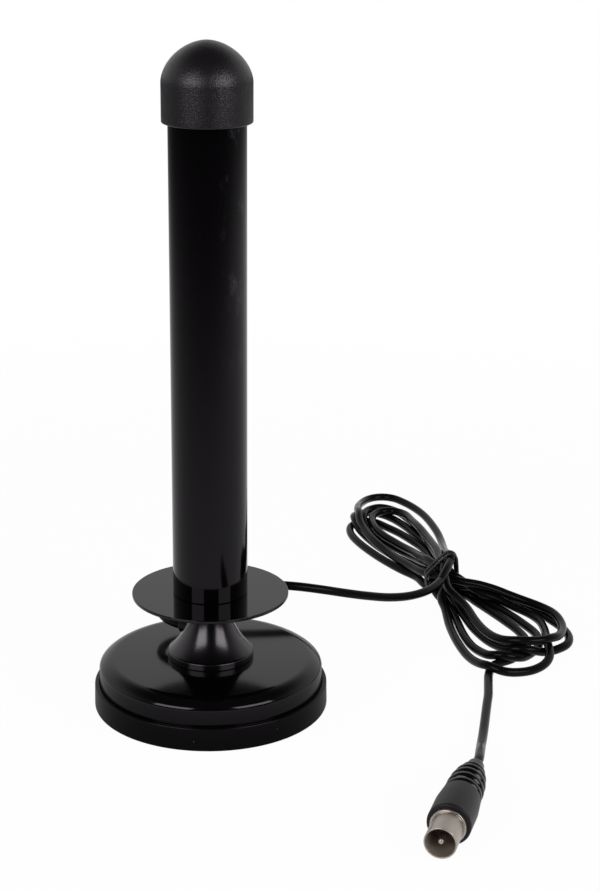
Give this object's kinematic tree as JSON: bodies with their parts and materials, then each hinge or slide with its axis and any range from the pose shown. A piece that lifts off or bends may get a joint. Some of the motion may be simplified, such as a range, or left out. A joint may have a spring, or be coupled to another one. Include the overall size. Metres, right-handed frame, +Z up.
{
  "type": "indoor tv antenna",
  "caption": "Slim tube antenna with a domed cap on a thin flange disc and trumpet neck, on a round magnetic base, with a tied coaxial lead ending in an aerial plug.",
  "frame": {"origin": "centre of the round base on the surface it stands on", "axes": "+Z up along the mast, the lead leaves the neck at the back left and lies to +X, the picture is taken from -Y"},
  "size_m": [0.164, 0.2923, 0.2128],
  "materials": {
    "boot_rubber": "satin-matte black rubber with a little dust",
    "cover_paint": "gloss black",
    "disc_paint": "gloss black",
    "neck_paint": "satin black",
    "tube_plastic": "gloss black",
    "cap_plastic": "fine-grained matte black",
    "sleeve_rubber": "satin black",
    "ferrite": "sintered dark grey",
    "plated_steel": "zinc-plated",
    "stud_brass": "turned brass",
    "inner_plastic": "moulded dark grey",
    "board_laminate": "green lacquered laminate",
    "board_copper": "etched copper",
    "spacer_foam": "closed-cell foam",
    "lead_jacket": "satin black jacket",
    "tie_cover": "black covered wire",
    "plug_moulding": "matte moulded black",
    "boot_moulding": "satin black rings",
    "plug_plating": "dull nickel plating",
    "insulator_plastic": "tan insulator"
  },
  "bodies": {
    "root": {"base_boot": "boot_rubber", "base_cover": "cover_paint", "flange_disc": "disc_paint", "neck": "neck_paint", "mast_tube": "tube_plastic", "end_cap": "cap_plastic", "exit_sleeve": "sleeve_rubber", "magnet_ring": "ferrite", "yoke_plate": "plated_steel", "base_washer": "plated_steel", "base_screw": "plated_steel", "tube_stud": "stud_brass", "stud_nut": "stud_brass", "foot_plug": "inner_plastic", "element_board": "board_laminate", "radiator_strip": "board_copper", "ground_strip": "board_copper", "board_spacer": "spacer_foam", "inner_lead": "lead_jacket", "lead_in_cord": "lead_jacket", "cord_hank": "lead_jacket", "lead_out_cord": "lead_jacket", "twist_tie": "tie_cover", "plug_body": "plug_moulding", "plug_boot": "boot_moulding", "plug_shell": "plug_plating", "plug_pin": "plug_plating", "plug_insulator": "insulator_plastic"}
  },
  "joints": []
}
